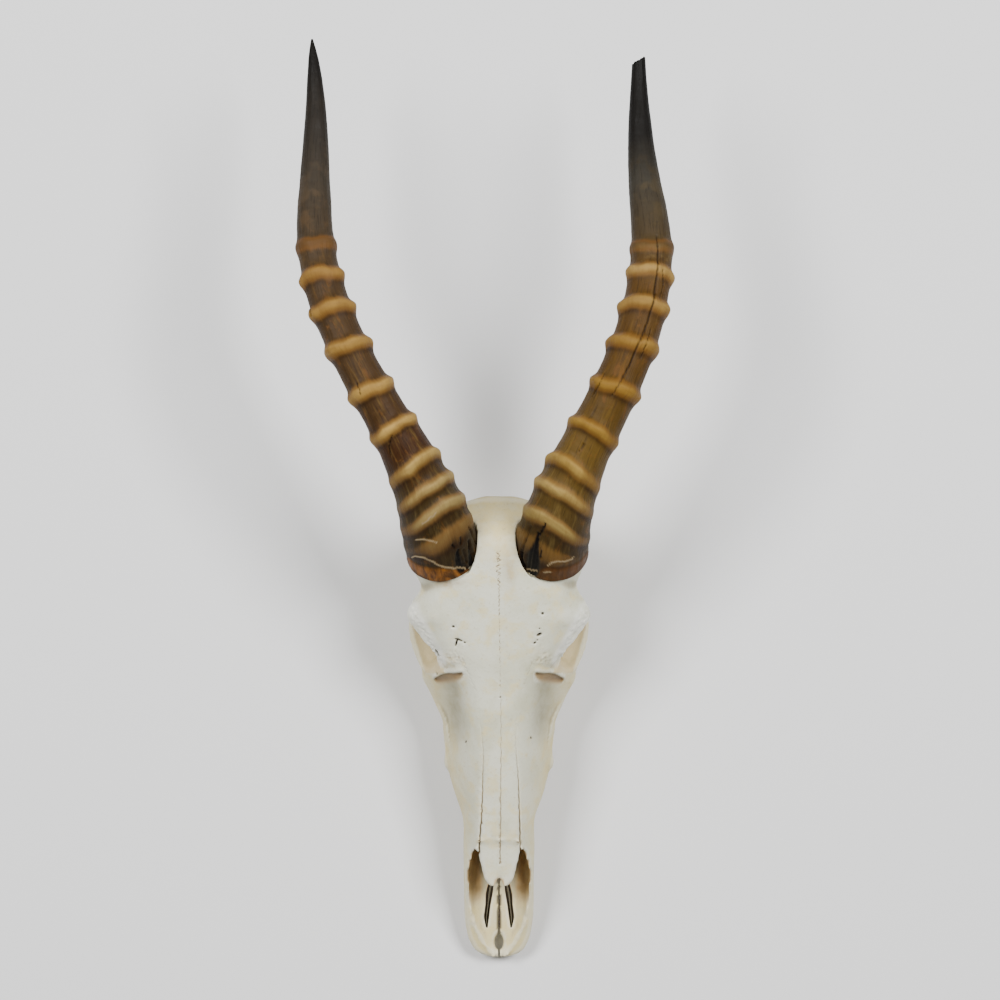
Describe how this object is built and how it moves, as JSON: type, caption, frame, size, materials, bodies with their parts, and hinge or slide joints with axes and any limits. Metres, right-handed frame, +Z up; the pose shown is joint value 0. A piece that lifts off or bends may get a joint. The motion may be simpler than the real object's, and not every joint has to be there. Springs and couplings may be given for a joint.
{
  "type": "blesbok skull",
  "caption": "Blesbok skull without its lower jaw, lying face up, with long ringed lyre-shaped horns and cheek teeth in their sockets.",
  "frame": {"origin": "on the surface that the skull lies on, under the middle of the whole object's bounding box", "axes": "+Y runs from the nose tip to the horn tips, +Z is up out of the forehead, +X completes the frame"},
  "size_m": [0.2514, 0.6246, 0.1827],
  "materials": {
    "bone": "matte",
    "horn": "satin",
    "tooth": "satin"
  },
  "bodies": {
    "root": {"skull": "bone", "left_horn": "horn", "right_horn": "horn", "left_premolar_2": "tooth", "left_premolar_3": "tooth", "left_premolar_4": "tooth", "left_molar_1": "tooth", "left_molar_2": "tooth", "left_molar_3": "tooth", "right_premolar_2": "tooth", "right_premolar_3": "tooth", "right_premolar_4": "tooth", "right_molar_1": "tooth", "right_molar_2": "tooth", "right_molar_3": "tooth"}
  },
  "joints": []
}
